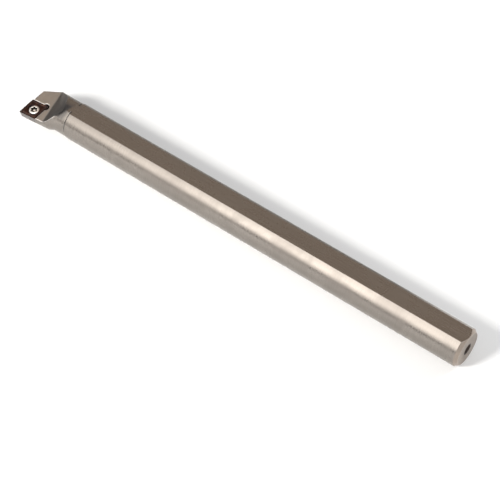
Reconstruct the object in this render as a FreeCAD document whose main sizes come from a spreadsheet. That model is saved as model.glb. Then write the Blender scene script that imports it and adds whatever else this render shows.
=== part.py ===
import FreeCAD, Part
import math
import os

import Sketcher
from FreeCAD import Vector

# Indexable boring bar, right hand, lying along X.
# The origin is the centre of the rear end face, +X leaves that face and the cutting tip points to -X.
# The long flat and the rake face look up, +Z, and the cutting tip stands out towards -Y.

SIZES = [
    # Bar as a whole
    ("overall_length", 254.0),
    ("shank_diameter", 19.05),
    ("tip_offset", 12.7),
    ("flat_height", 8.32),
    # Rear end
    ("tail_chamfer_length", 1.7),
    ("tail_chamfer_depth", 1.4),
    ("centre_sink_diameter", 5.3),
    ("centre_sink_angle", 60.0),
    ("centre_pilot_diameter", 2.5),
    ("centre_pilot_depth", 6.5),
    ("drill_point_angle", 118.0),
    # Neck behind the head
    ("neck_diameter", 18.3),
    ("neck_length", 26.35),
    # Swelling of the head that carries the pocket
    ("lobe_radius", 9.2),
    ("lobe_rise", 0.6),
    ("lobe_length", 15.1),
    ("lobe_flare_angle", 22.0),
    ("flare_length", 6.0),
    # Rake face and chip gullet
    ("rake_tilt", 12.0),
    ("gullet_distance", 14.1),
    ("gullet_yaw", 10.5),
    ("gullet_angle", 34.0),
    ("gullet_radius", 2.5),
    # Front and far side of the head
    ("back_chamfer_angle", 28.3),
    ("back_chamfer_length", 12.8),
    ("front_relief", 0.6),
    ("side_relief", 0.2),
    # Cutting insert
    ("lead_angle", 5.0),
    ("insert_circle", 9.525),
    ("corner_angle", 80.0),
    ("insert_thickness", 3.97),
    ("clearance_angle", 7.0),
    ("nose_radius", 0.4),
    ("insert_hole_diameter", 4.4),
    ("insert_sink_diameter", 5.7),
    ("edge_land", 0.2),
    ("chip_groove_width", 1.0),
    ("chip_groove_depth", 0.18),
    ("chip_groove_radius", 0.2),
    ("island_diameter", 6.6),
    # Pocket that seats the insert
    ("pocket_gap", 0.03),
    ("pocket_relief_diameter", 3.8),
    ("pocket_relief_inset", 1.45),
    ("pocket_relief_depth", 0.3),
    # Insert screw
    ("thread_diameter", 3.5),
    ("thread_gap", 0.05),
    ("screw_length", 8.3),
    ("screw_head_diameter", 5.2),
    ("screw_rim_height", 0.2),
    ("screw_cone_angle", 60.0),
    ("screw_tip_chamfer", 0.4),
    ("recess_core_diameter", 2.5),
    ("recess_lobe_diameter", 0.84),
    ("recess_depth", 1.5),
]

# How far cutting outlines reach past the material they remove
OVERCUT = 20.0
SKIM = 1.0
RECESS_LOBE_COUNT = 6

# Lengths that follow from the sheet, as expressions
SHANK_RADIUS = "Sizes.shank_diameter / 2"
NECK_RADIUS = "Sizes.neck_diameter / 2"
NECK_START = "Sizes.neck_length - Sizes.overall_length"
INSERT_HALF = "Sizes.insert_circle / 2"
HALF_CORNER = "Sizes.corner_angle / 2"

# The insert's centre, measured in the rake plane from the point of the tip
NOSE_TO_CENTRE = f"(({INSERT_HALF} - Sizes.nose_radius) / sin({HALF_CORNER}))"
SEAT_ALONG = f"(Sizes.nose_radius + {NOSE_TO_CENTRE} * cos(Sizes.lead_angle + {HALF_CORNER}))"
SEAT_ACROSS = f"(Sizes.nose_radius + {NOSE_TO_CENTRE} * sin(Sizes.lead_angle + {HALF_CORNER}))"

# The screw's head cone and the insert's seat are one cone, met below the insert's top face
SINK_TO_HEAD = "(Sizes.insert_sink_diameter - Sizes.screw_head_diameter) / 2"
HEAD_CONE_TOP = f"(({SINK_TO_HEAD}) / tan(Sizes.screw_cone_angle / 2))"
HEAD_TOP = f"({HEAD_CONE_TOP} - Sizes.screw_rim_height)"


def rotation(axis, angle):
    """Expression of a turn about the named axis."""
    vectors = {"x": "vector(1; 0; 0)", "y": "vector(0; 1; 0)", "z": "vector(0; 0; 1)"}
    return f"rotation({vectors[axis]}; {angle})"


def frame(base, *turns):
    """Expression of a placement from its base point and its turns."""
    x, y, z = base
    return f"placement(vector({x}; {y}; {z}); {' * '.join(turns)})"


TILT = rotation("x", "Sizes.rake_tilt")
LEAD = rotation("z", "Sizes.lead_angle")
UPRIGHT = rotation("x", 90)

TIP = ("-Sizes.overall_length", "-Sizes.tip_offset", "0")
SEAT = (
    f"{SEAT_ALONG} - Sizes.overall_length",
    f"{SEAT_ACROSS} * cos(Sizes.rake_tilt) - Sizes.tip_offset",
    f"{SEAT_ACROSS} * sin(Sizes.rake_tilt)",
)
LOBE_END = (
    "Sizes.lobe_length - Sizes.overall_length",
    "Sizes.lobe_length * tan(Sizes.lead_angle) + Sizes.side_relief + Sizes.lobe_radius - Sizes.tip_offset",
    "Sizes.lobe_rise",
)

LEVEL_FRAME = frame(("0", "0", "0"), rotation("z", 0))
SIDE_FRAME = frame(("0", "0", "0"), UPRIGHT)
GULLET_FRAME = frame(TIP, TILT, rotation("z", "Sizes.gullet_yaw"), UPRIGHT)
INSERT_FRAME = frame(SEAT, TILT, LEAD)
FRONT_FRAME = frame(SEAT, TILT, LEAD, rotation("z", "Sizes.corner_angle - 90"), UPRIGHT)
LOBE_FRAME = frame(LOBE_END, LEAD)


def write_sheet(doc):
    """Put every driving size into the sheet, one named cell each."""
    sheet = doc.addObject("Spreadsheet::Sheet", "Sizes")
    for row, (name, value) in enumerate(SIZES, start=1):
        sheet.set(f"A{row}", name)
        sheet.set(f"B{row}", str(value))
        sheet.setAlias(f"B{row}", name)
    doc.recompute()
    return sheet


def new_sketch(body, name, placing):
    """Attach a sketch to the body's own level plane, moved by an expression."""
    plane = next(item for item in body.Origin.OriginFeatures if item.Role == "XY_Plane")
    sketch = body.newObject("Sketcher::SketchObject", name)
    sketch.AttachmentSupport = [(plane, "")]
    sketch.MapMode = "FlatFace"
    sketch.setExpression("AttachmentOffset", placing)
    return sketch


def number(sketch, expression):
    """Value of an expression at the sizes in the sheet."""
    value = sketch.evalExpression(expression)
    return float(getattr(value, "Value", value))


def bind(sketch, kind, name, expression, *where):
    """Add a dimension and tie it to an expression."""
    value = number(sketch, expression)
    if kind == "Angle":
        value = math.radians(value)
    index = sketch.addConstraint(Sketcher.Constraint(kind, *where, value))
    sketch.renameConstraint(index, name)
    unit = " * 1 deg" if kind == "Angle" else ""
    sketch.setExpression(f"Constraints.{name}", f"({expression}){unit}")


def pin_vertex(sketch, line, name, x, y):
    """Fix the start of a line at two expressions, on an axis where one of them is zero."""
    if x == "0":
        sketch.addConstraint(Sketcher.Constraint("PointOnObject", line, 1, -2))
    else:
        bind(sketch, "DistanceX", f"{name}_x", x, -1, 1, line, 1)
    if y == "0":
        sketch.addConstraint(Sketcher.Constraint("PointOnObject", line, 1, -1))
    else:
        bind(sketch, "DistanceY", f"{name}_y", y, -1, 1, line, 1)


def polygon(sketch, corners):
    """Draw a closed outline whose corners are (name, x, y), x and y as expressions."""
    points = [Vector(number(sketch, x), number(sketch, y), 0) for _, x, y in corners]
    ends = points[1:] + points[:1]
    lines = [sketch.addGeometry(Part.LineSegment(a, b)) for a, b in zip(points, ends)]
    for line, following in zip(lines, lines[1:] + lines[:1]):
        sketch.addConstraint(Sketcher.Constraint("Coincident", line, 2, following, 1))
    for line, (name, x, y) in zip(lines, corners):
        pin_vertex(sketch, line, name, x, y)


def circle(sketch, name, diameter, x="0", y="0"):
    """Draw a circle of a given diameter about a point."""
    centre = Vector(number(sketch, x), number(sketch, y), 0)
    index = sketch.addGeometry(Part.Circle(centre, Vector(0, 0, 1), number(sketch, diameter) / 2))
    if x == "0" and y == "0":
        sketch.addConstraint(Sketcher.Constraint("Coincident", index, 3, -1, 1))
    else:
        bind(sketch, "DistanceX", f"{name}_x", x, -1, 1, index, 3)
        bind(sketch, "DistanceY", f"{name}_y", y, -1, 1, index, 3)
    bind(sketch, "Diameter", name, diameter, index)


def rounded_rhombus(sketch, half_width, radius):
    """Draw a rhombus about the origin, its sides half_width away and its corners rounded.

    One pair of sides runs along the sketch's x axis, and the other leans by the corner angle.
    """
    half = number(sketch, half_width)
    round_radius = number(sketch, radius)
    angle = math.radians(number(sketch, "Sizes.corner_angle"))
    run = Vector(1, 0, 0)
    lean = Vector(math.cos(angle), math.sin(angle), 0)
    side = half / math.sin(angle)
    corners = [run * (a * side) + lean * (b * side) for a, b in ((-1, -1), (1, -1), (1, 1), (-1, 1))]
    headings = [run, lean, -run, -lean]

    centres = []
    lines = []
    shrink = (half - round_radius) / half
    for corner in corners:
        centres.append(corner * shrink)
    for index, heading in enumerate(headings):
        outward = heading.cross(Vector(0, 0, 1)) * round_radius
        start = centres[index] + outward
        end = centres[(index + 1) % 4] + outward
        lines.append(sketch.addGeometry(Part.LineSegment(start, end)))

    arcs = []
    for index, centre in enumerate(centres):
        incoming = headings[index - 1].cross(Vector(0, 0, 1))
        outgoing = headings[index].cross(Vector(0, 0, 1))
        start_angle = math.atan2(incoming.y, incoming.x)
        end_angle = math.atan2(outgoing.y, outgoing.x)
        round_circle = Part.Circle(centre, Vector(0, 0, 1), round_radius)
        arcs.append(sketch.addGeometry(Part.ArcOfCircle(round_circle, start_angle, end_angle)))

    for index in range(4):
        sketch.addConstraint(Sketcher.Constraint("Tangent", lines[index - 1], 2, arcs[index], 1))
        sketch.addConstraint(Sketcher.Constraint("Tangent", arcs[index], 2, lines[index], 1))
        bind(sketch, "Distance", f"side_{index}", half_width, -1, 1, lines[index])
        bind(sketch, "Radius", f"corner_{index}", radius, arcs[index])
    for index in (0, 2):
        sketch.addConstraint(Sketcher.Constraint("Horizontal", lines[index]))
    bind(sketch, "Angle", "lean", "Sizes.corner_angle", -1, 1, lines[1], 1)
    sketch.addConstraint(Sketcher.Constraint("Parallel", lines[1], lines[3]))


def revolve(body, kind, sketch, name):
    """Turn a sketch about its own x axis, adding or removing the round shape."""
    feature = body.newObject(f"PartDesign::{kind}", name)
    feature.Profile = sketch
    feature.ReferenceAxis = (sketch, ["H_Axis"])
    feature.Angle = 360
    return feature


def cut(body, sketch, name, depth=None, taper=None):
    """Cut below a sketch to a depth, or past the bar on both sides where none is given."""
    feature = body.newObject("PartDesign::Pocket", name)
    feature.Profile = sketch
    if depth is None:
        feature.SideType = "Symmetric"
        feature.Length = 4 * OVERCUT
    else:
        feature.setExpression("Length", depth)
    if taper is not None:
        feature.setExpression("TaperAngle", taper)
    return feature


def shank_and_neck(body):
    """Turned bar: chamfered rear end, full shank and the slightly thinner neck."""
    sketch = new_sketch(body, "TurnedProfile", LEVEL_FRAME)
    polygon(sketch, [
        ("rear_centre", "0", "0"),
        ("rear_rim", "0", f"{SHANK_RADIUS} - Sizes.tail_chamfer_depth"),
        ("chamfer_end", "-Sizes.tail_chamfer_length", SHANK_RADIUS),
        ("shank_end", NECK_START, SHANK_RADIUS),
        ("neck_start", NECK_START, NECK_RADIUS),
        ("neck_front", "-Sizes.overall_length", NECK_RADIUS),
        ("front_centre", "-Sizes.overall_length", "0"),
    ])
    revolve(body, "Revolution", sketch, "TurnedBar")


def head_lobe(body):
    """Swelling of the head, turned about an axis that runs with the insert's side edge."""
    sketch = new_sketch(body, "LobeProfile", LOBE_FRAME)
    flare_drop = "Sizes.flare_length * tan(Sizes.lobe_flare_angle)"
    polygon(sketch, [
        ("root", "Sizes.flare_length", "0"),
        ("flare_foot", "Sizes.flare_length", f"Sizes.lobe_radius - {flare_drop}"),
        ("flare_top", "0", "Sizes.lobe_radius"),
        ("lobe_front", "-Sizes.lobe_length", "Sizes.lobe_radius"),
        ("lobe_centre", "-Sizes.lobe_length", "0"),
    ])
    revolve(body, "Revolution", sketch, "HeadLobe")


def top_flat(body):
    """Flat milled along the whole bar."""
    sketch = new_sketch(body, "FlatOutline", SIDE_FRAME)
    polygon(sketch, [
        ("rear_low", f"{SKIM}", "Sizes.flat_height"),
        ("rear_high", f"{SKIM}", "Sizes.shank_diameter"),
        ("front_high", f"-Sizes.overall_length - {SKIM}", "Sizes.shank_diameter"),
        ("front_low", f"-Sizes.overall_length - {SKIM}", "Sizes.flat_height"),
    ])
    cut(body, sketch, "TopFlat")


def gullet(body):
    """Rake face and the chip gullet that sweeps up from it to the flat.

    The section is square to the line where the two faces would meet: level along the rake
    face, then an arc, then the straight climb.
    """
    sketch = new_sketch(body, "GulletSection", GULLET_FRAME)
    foot = number(sketch, "Sizes.gullet_distance")
    angle = math.radians(number(sketch, "Sizes.gullet_angle"))
    radius = number(sketch, "Sizes.gullet_radius")
    tangent = radius * math.tan(angle / 2)
    arc_start = Vector(foot - tangent, 0, 0)
    arc_end = Vector(foot + tangent * math.cos(angle), tangent * math.sin(angle), 0)
    climb_end = Vector(foot + OVERCUT, OVERCUT * math.tan(angle), 0)
    ceiling = climb_end.y + OVERCUT

    face = sketch.addGeometry(Part.LineSegment(Vector(-OVERCUT, 0, 0), arc_start))
    sweep = Part.Circle(arc_start + Vector(0, radius, 0), Vector(0, 0, 1), radius)
    arc = sketch.addGeometry(Part.ArcOfCircle(sweep, -math.pi / 2, angle - math.pi / 2))
    climb = sketch.addGeometry(Part.LineSegment(arc_end, climb_end))
    back = sketch.addGeometry(Part.LineSegment(climb_end, Vector(climb_end.x, ceiling, 0)))
    top = sketch.addGeometry(Part.LineSegment(Vector(climb_end.x, ceiling, 0), Vector(-OVERCUT, ceiling, 0)))
    front = sketch.addGeometry(Part.LineSegment(Vector(-OVERCUT, ceiling, 0), Vector(-OVERCUT, 0, 0)))
    meet = sketch.addGeometry(Part.Point(Vector(foot, 0, 0)), True)

    sketch.addConstraint([
        Sketcher.Constraint("PointOnObject", face, 1, -1),
        Sketcher.Constraint("Horizontal", face),
        Sketcher.Constraint("Tangent", face, 2, arc, 1),
        Sketcher.Constraint("Tangent", arc, 2, climb, 1),
        Sketcher.Constraint("Coincident", climb, 2, back, 1),
        Sketcher.Constraint("Vertical", back),
        Sketcher.Constraint("Coincident", back, 2, top, 1),
        Sketcher.Constraint("Horizontal", top),
        Sketcher.Constraint("Coincident", top, 2, front, 1),
        Sketcher.Constraint("Vertical", front),
        Sketcher.Constraint("Coincident", front, 2, face, 1),
        Sketcher.Constraint("PointOnObject", meet, 1, -1),
        Sketcher.Constraint("PointOnObject", meet, 1, climb),
    ])
    bind(sketch, "DistanceX", "front_reach", f"{-OVERCUT}", -1, 1, face, 1)
    bind(sketch, "DistanceX", "foot", "Sizes.gullet_distance", -1, 1, meet, 1)
    bind(sketch, "Radius", "sweep", "Sizes.gullet_radius", arc)
    bind(sketch, "Angle", "climb_angle", "Sizes.gullet_angle", -1, 1, climb, 1)
    bind(sketch, "DistanceX", "rear_reach", f"{OVERCUT}", meet, 1, climb, 2)
    bind(sketch, "DistanceY", "height", f"{OVERCUT}", climb, 2, back, 2)
    cut(body, sketch, "ChipGullet")


def front_face(body):
    """Front of the head: a little behind the insert's front edge, with the insert's clearance."""
    sketch = new_sketch(body, "FrontOutline", FRONT_FRAME)
    edge = f"Sizes.front_relief - {INSERT_HALF}"
    lean = f"{OVERCUT} * tan(Sizes.clearance_angle)"
    polygon(sketch, [
        ("low_inner", f"{edge} + {lean}", f"{-OVERCUT}"),
        ("high_inner", f"{edge} - {lean}", f"{OVERCUT}"),
        ("high_outer", f"{-2 * OVERCUT}", f"{OVERCUT}"),
        ("low_outer", f"{-2 * OVERCUT}", f"{-OVERCUT}"),
    ])
    cut(body, sketch, "FrontFace")


def back_chamfer(body):
    """Slanted face that takes away the far front corner of the head."""
    sketch = new_sketch(body, "BackChamferOutline", LEVEL_FRAME)
    rise = "tan(Sizes.back_chamfer_angle)"
    rear = "Sizes.back_chamfer_length - Sizes.overall_length"
    polygon(sketch, [
        ("rear_far", f"{rear} + {OVERCUT}", f"{NECK_RADIUS} + {OVERCUT} * {rise}"),
        ("front_far", f"{rear} - {OVERCUT}", f"{NECK_RADIUS} + {OVERCUT} * {rise}"),
        ("front_near", f"{rear} - {OVERCUT}", f"{NECK_RADIUS} - {OVERCUT} * {rise}"),
    ])
    cut(body, sketch, "BackChamfer")


def insert_pocket(body):
    """Open pocket whose two walls and floor follow the insert, with a round corner relief."""
    wall = f"({INSERT_HALF} + Sizes.pocket_gap)"
    corner_x = f"{wall} * (1 + cos(Sizes.corner_angle)) / sin(Sizes.corner_angle)"
    drop = f"({wall} + {OVERCUT})"
    sketch = new_sketch(body, "PocketOutline", INSERT_FRAME)
    polygon(sketch, [
        ("corner", corner_x, wall),
        ("front", f"{-OVERCUT}", wall),
        ("outside", f"{-OVERCUT}", f"{-OVERCUT}"),
        ("side", f"{corner_x} - {drop} / tan(Sizes.corner_angle)", f"{-OVERCUT}"),
    ])
    cut(body, sketch, "InsertPocket", "Sizes.insert_thickness", "-Sizes.clearance_angle")

    reach = f"({INSERT_HALF} / sin({HALF_CORNER}) - Sizes.pocket_relief_inset)"
    relief = new_sketch(body, "ReliefOutline", INSERT_FRAME)
    circle(
        relief,
        "relief",
        "Sizes.pocket_relief_diameter",
        f"{reach} * cos({HALF_CORNER})",
        f"{reach} * sin({HALF_CORNER})",
    )
    cut(body, relief, "CornerRelief", "Sizes.insert_thickness + Sizes.pocket_relief_depth")


def screw_hole(body):
    """Tapped hole square to the pocket's floor, right through the head."""
    sketch = new_sketch(body, "ScrewHoleOutline", INSERT_FRAME)
    circle(sketch, "tapped_hole", "Sizes.thread_diameter + Sizes.thread_gap")
    cut(body, sketch, "ScrewHole", "Sizes.shank_diameter")


def centre_hole(body):
    """Centre-drilled hole in the rear face: a sink, a pilot and the drill's point."""
    sink_radius = "Sizes.centre_sink_diameter / 2"
    pilot_radius = "Sizes.centre_pilot_diameter / 2"
    sink_depth = f"({sink_radius} - {pilot_radius}) / tan(Sizes.centre_sink_angle / 2)"
    point_depth = f"{pilot_radius} / tan(Sizes.drill_point_angle / 2)"
    sketch = new_sketch(body, "CentreHoleProfile", LEVEL_FRAME)
    polygon(sketch, [
        ("mouth_centre", "0", "0"),
        ("mouth", "0", sink_radius),
        ("sink_end", f"-{sink_depth}", pilot_radius),
        ("pilot_end", "-Sizes.centre_pilot_depth", pilot_radius),
        ("point", f"-Sizes.centre_pilot_depth - {point_depth}", "0"),
    ])
    revolve(body, "Groove", sketch, "CentreHole")


def build_bar(doc):
    """Bar body: everything that is one piece of steel."""
    body = doc.addObject("PartDesign::Body", "BarBody")
    body.Label = "bar_body"
    shank_and_neck(body)
    head_lobe(body)
    top_flat(body)
    gullet(body)
    front_face(body)
    back_chamfer(body)
    insert_pocket(body)
    screw_hole(body)
    centre_hole(body)
    return body


def build_insert(doc):
    """Rhombic insert: leaning flanks, a chip groove inside the edge and a sunk hole."""
    body = doc.addObject("PartDesign::Body", "CuttingInsert")
    body.Label = "cutting_insert"
    body.setExpression("Placement", INSERT_FRAME)

    outline = new_sketch(body, "InsertOutline", LEVEL_FRAME)
    rounded_rhombus(outline, INSERT_HALF, "Sizes.nose_radius")
    blank = body.newObject("PartDesign::Pad", "InsertBlank")
    blank.Profile = outline
    blank.Reversed = True
    blank.setExpression("Length", "Sizes.insert_thickness")
    blank.setExpression("TaperAngle", "-Sizes.clearance_angle")

    groove_outer = new_sketch(body, "GrooveOuter", LEVEL_FRAME)
    rounded_rhombus(groove_outer, f"{INSERT_HALF} - Sizes.edge_land", "Sizes.nose_radius - Sizes.edge_land")
    floor_frame = frame(("0", "0", "-Sizes.chip_groove_depth"), rotation("z", 0))
    groove_floor = new_sketch(body, "GrooveFloor", floor_frame)
    rounded_rhombus(
        groove_floor,
        f"{INSERT_HALF} - Sizes.edge_land - Sizes.chip_groove_width",
        "Sizes.chip_groove_radius",
    )
    groove = body.newObject("PartDesign::SubtractiveLoft", "ChipGroove")
    groove.Profile = groove_outer
    groove.Sections = [groove_floor]
    groove.Ruled = True

    island_outline = new_sketch(body, "IslandOutline", floor_frame)
    circle(island_outline, "island", "Sizes.island_diameter")
    island = body.newObject("PartDesign::Pad", "Island")
    island.Profile = island_outline
    island.setExpression("Length", "Sizes.chip_groove_depth")

    hole_radius = "Sizes.insert_hole_diameter / 2"
    sink_radius = "Sizes.insert_sink_diameter / 2"
    cone_depth = f"({sink_radius} - {hole_radius}) / tan(Sizes.screw_cone_angle / 2)"
    hole_frame = frame(("0", "0", "0"), rotation("y", 90))
    hole = new_sketch(body, "HoleProfile", hole_frame)
    polygon(hole, [
        ("mouth_centre", "0", "0"),
        ("mouth", "0", sink_radius),
        ("cone_end", cone_depth, hole_radius),
        ("exit", "Sizes.insert_thickness", hole_radius),
        ("exit_centre", "Sizes.insert_thickness", "0"),
    ])
    revolve(body, "Groove", hole, "SunkHole")
    return body


def build_screw(doc):
    """Countersunk screw: rimmed cone head, threaded shank and a six-lobe recess."""
    body = doc.addObject("PartDesign::Body", "InsertScrew")
    body.Label = "insert_screw"
    body.setExpression("Placement", INSERT_FRAME)

    head_radius = "Sizes.screw_head_diameter / 2"
    thread_radius = "Sizes.thread_diameter / 2"
    cone_end = f"{HEAD_CONE_TOP} + ({head_radius} - {thread_radius}) / tan(Sizes.screw_cone_angle / 2)"
    end = f"{HEAD_TOP} + Sizes.screw_length"
    axis_frame = frame(("0", "0", "0"), rotation("y", 90))
    profile = new_sketch(body, "ScrewProfile", axis_frame)
    polygon(profile, [
        ("top_centre", HEAD_TOP, "0"),
        ("top_rim", HEAD_TOP, head_radius),
        ("cone_start", HEAD_CONE_TOP, head_radius),
        ("cone_end", cone_end, thread_radius),
        ("shank_end", f"{end} - Sizes.screw_tip_chamfer", thread_radius),
        ("tip_rim", end, f"{thread_radius} - Sizes.screw_tip_chamfer"),
        ("tip_centre", end, "0"),
    ])
    revolve(body, "Revolution", profile, "TurnedScrew")

    top_frame = frame(("0", "0", f"-{HEAD_TOP}"), rotation("z", 0))
    core = new_sketch(body, "RecessCoreOutline", top_frame)
    circle(core, "core", "Sizes.recess_core_diameter")
    cut(body, core, "RecessCore", "Sizes.recess_depth")

    lobe = new_sketch(body, "RecessLobeOutline", top_frame)
    circle(lobe, "lobe", "Sizes.recess_lobe_diameter", "Sizes.recess_core_diameter / 2", "0")
    lobe_cut = cut(body, lobe, "RecessLobe", "Sizes.recess_depth")
    lobes = body.newObject("PartDesign::PolarPattern", "RecessLobes")
    lobes.Originals = [lobe_cut]
    lobes.Axis = (lobe, ["N_Axis"])
    lobes.Angle = 360
    lobes.Occurrences = RECESS_LOBE_COUNT
    body.Tip = lobes
    return body


def check_objects(doc, bodies):
    """Stop if any feature failed or any solid is null or not valid."""
    failed = [item.Name for item in doc.Objects if "Invalid" in item.State or "Error" in item.State]
    if failed:
        raise RuntimeError(f"features that failed: {failed}")
    for body in bodies:
        shape = body.Shape
        if shape.isNull() or not shape.isValid() or len(shape.Solids) != 1:
            raise RuntimeError(f"{body.Label} isn't one valid solid")


def main():
    doc = FreeCAD.newDocument("BoringBar")
    write_sheet(doc)
    bodies = [build_bar(doc), build_insert(doc), build_screw(doc)]
    doc.recompute()
    check_objects(doc, bodies)
    os.makedirs("parts", exist_ok=True)
    for body in bodies:
        body.Shape.exportStep(f"parts/{body.Label}.step")


main()
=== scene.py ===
"""Indexable boring bar dressed for pictures: nickel-plated bar, coated insert and its screw.

Lengths are in millimetres and angles in degrees, unless a docstring says otherwise.
"""
import logging
import math
from dataclasses import dataclass
from enum import Enum, IntEnum
from typing import Union

import bmesh
import bpy
import numpy as np
from bpy.types import Material, Node, NodeSocket, NodeTree, Object
from mathutils import Matrix, Vector


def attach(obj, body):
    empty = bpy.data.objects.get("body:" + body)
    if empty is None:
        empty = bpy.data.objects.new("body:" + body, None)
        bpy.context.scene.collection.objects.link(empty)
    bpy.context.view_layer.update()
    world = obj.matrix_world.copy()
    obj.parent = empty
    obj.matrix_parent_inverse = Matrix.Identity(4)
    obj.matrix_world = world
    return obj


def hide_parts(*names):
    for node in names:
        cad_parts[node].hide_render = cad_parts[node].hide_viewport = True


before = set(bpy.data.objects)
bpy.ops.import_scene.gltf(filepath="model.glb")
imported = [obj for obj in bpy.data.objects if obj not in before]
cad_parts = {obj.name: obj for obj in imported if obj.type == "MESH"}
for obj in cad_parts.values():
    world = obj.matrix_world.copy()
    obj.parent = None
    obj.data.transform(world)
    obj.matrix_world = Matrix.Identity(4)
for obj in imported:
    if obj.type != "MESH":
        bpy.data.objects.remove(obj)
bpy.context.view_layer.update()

LOG = logging.getLogger("boring_bar")
MM = 0.001
PICTURE_SIDE = 500
SENSOR_WIDTH = 36.0
BODY = "root"
WHITE = (1.0, 1.0, 1.0, 1.0)
SHARP = math.radians(20.0)
LEVEL = math.radians(0.1)
STRAIGHT = 1e-4
WELD = 0.001 * MM
Triple = tuple[float, float, float]
Stops = tuple[tuple[float, float], ...]
Feed = Union[NodeSocket, float, tuple]


# ---- Shapes as arrays ----


def polar(radius: np.ndarray | float, angle: np.ndarray) -> np.ndarray:
    """Points round the origin of a plane: x = r cos a, y = r sin a."""
    return np.stack([radius * np.cos(angle), radius * np.sin(angle)], axis=-1)


def raised(points: np.ndarray, height: np.ndarray) -> np.ndarray:
    """Points of a plane with their height as the third coordinate."""
    return np.concatenate([points, np.broadcast_to(height, (*points.shape[:-1], 1))], axis=-1)


def rounded_path(corners: list[Triple], steps: int = 4) -> np.ndarray:
    """Follow a polyline and replace each inner corner by an arc that touches both of its sides.

    An arc of radius r in a corner whose heading turns by an angle t starts r * tan(t / 2)
    before the corner and ends as far behind it. Its points stand r away from the centre.

    Args:
        corners: First coordinate, second coordinate and arc radius of each corner.
        steps: Number of equal parts that each arc is divided into.

    Returns:
        The path's points, one row each.
    """
    points = np.array(corners, float)
    rows = [points[:1, :2]]
    for before, corner, after in zip(points[:-2], points[1:-1], points[2:]):
        here, radius = corner[:2], corner[2]
        into = (here - before[:2]) / np.linalg.norm(here - before[:2])
        out = (after[:2] - here) / np.linalg.norm(after[:2] - here)
        turn = math.acos(float(np.clip(into @ out, -1, 1)))
        if radius <= 0 or turn < STRAIGHT:
            rows.append(here[None])
            continue
        bisector = out - into
        centre = here + bisector / np.linalg.norm(bisector) * radius / math.cos(turn / 2)
        start = here - into * radius * math.tan(turn / 2) - centre
        angle = np.linspace(0, turn, steps + 1) * np.sign(into[0] * out[1] - into[1] * out[0])
        rows.append(centre + np.stack([
            start[0] * np.cos(angle) - start[1] * np.sin(angle),
            start[0] * np.sin(angle) + start[1] * np.cos(angle),
        ], axis=1))
    rows.append(points[-1:, :2])
    return np.concatenate(rows)


def divided(path: np.ndarray, limit: np.ndarray) -> np.ndarray:
    """Divide each stretch of a path into as few equal parts as keep them under its limit.

    Args:
        path: Points, one row each.
        limit: Greatest length of a part, for each stretch between two points.

    Returns:
        The path with the points between.
    """
    parts = np.ceil(np.linalg.norm(np.diff(path, axis=0), axis=1) / limit).astype(int)
    stretch = np.repeat(np.arange(len(parts)), parts)
    share = (np.arange(len(stretch)) - np.repeat(np.cumsum(parts) - parts, parts)) / parts[stretch]
    between = path[stretch] + (path[stretch + 1] - path[stretch]) * share[:, None]
    return np.concatenate([between, path[-1:]])


def add_object(name: str, data: bpy.types.ID) -> Object:
    """Make an object and link it into the scene.

    Args:
        name: Its name.
        data: Its mesh, lamp or camera.

    Returns:
        The new object, at the origin.
    """
    made = bpy.data.objects.new(name, data)
    bpy.context.scene.collection.objects.link(made)
    return made


def skin(name: str, rings: np.ndarray, row_finish: np.ndarray, closed: bool = False,
         poles: tuple[bool, bool] = (False, False)) -> Object:
    """Put a grid of rings into a new object, with a quad between each four neighbours.

    Each ring joins on to itself. The rows' ends join on to each other, or close on a pole at
    the middle of the end ring, or stay open.

    Args:
        name: Name of the object and of its mesh.
        rings: Points in millimetres: rows of rings, points round a ring, three coordinates.
        row_finish: Material number of the faces between each ring and the next.
        closed: Whether the last ring joins on to the first.
        poles: Whether the first ring, and the last, closes on a pole.

    Returns:
        The new object, at the origin.
    """
    rows, columns = rings.shape[:2]
    number = np.arange(rows * columns).reshape(rows, columns)
    first = number if closed else number[:-1]
    following = np.roll(number, -1, axis=0) if closed else number[1:]
    quads = np.stack([
        first, np.roll(first, -1, axis=1), np.roll(following, -1, axis=1), following], axis=-1)
    points = [rings.reshape(-1, 3)]
    faces = quads.reshape(-1, 4).tolist()
    finishes = row_finish[:len(quads)]
    face_finish = np.repeat(finishes, columns).tolist()
    for end, wanted in zip((0, -1), poles):
        if not wanted:
            continue
        pole = sum(len(block) for block in points)
        points.append(rings[end].mean(axis=0)[None])
        edge = (number[end], np.roll(number[end], -1))[::1 if end else -1]
        faces += np.stack([*edge, np.full(columns, pole)], axis=-1).tolist()
        face_finish += [int(finishes[end])] * columns
    mesh = bpy.data.meshes.new(name)
    mesh.from_pydata((np.concatenate(points) * MM).tolist(), [], faces)
    mesh.polygons.foreach_set("material_index", face_finish)
    mesh.update()
    return add_object(name, mesh)


def spin(profile: np.ndarray, columns: int, lobes: int = 0,
         swing: np.ndarray | float = 0.0) -> np.ndarray:
    """Turn a profile about the z axis: x = r cos a, y = r sin a, z = height.

    With lobes, the radius r swings as it goes round: r + swing * cos(lobes * a).

    Args:
        profile: Height and radius of each ring.
        columns: Points round each ring.
        lobes: Number of lobes round a ring.
        swing: How far the radius swings, for each ring.

    Returns:
        Rings of points.
    """
    angle = np.linspace(0, 2 * math.pi, columns, endpoint=False)[None]
    swings = np.broadcast_to(swing, len(profile))[:, None]
    reach = profile[:, 1:] + swings * np.cos(lobes * angle)
    return raised(polar(reach, angle), profile[:, :1, None])


# ---- Shader building ----


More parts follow.
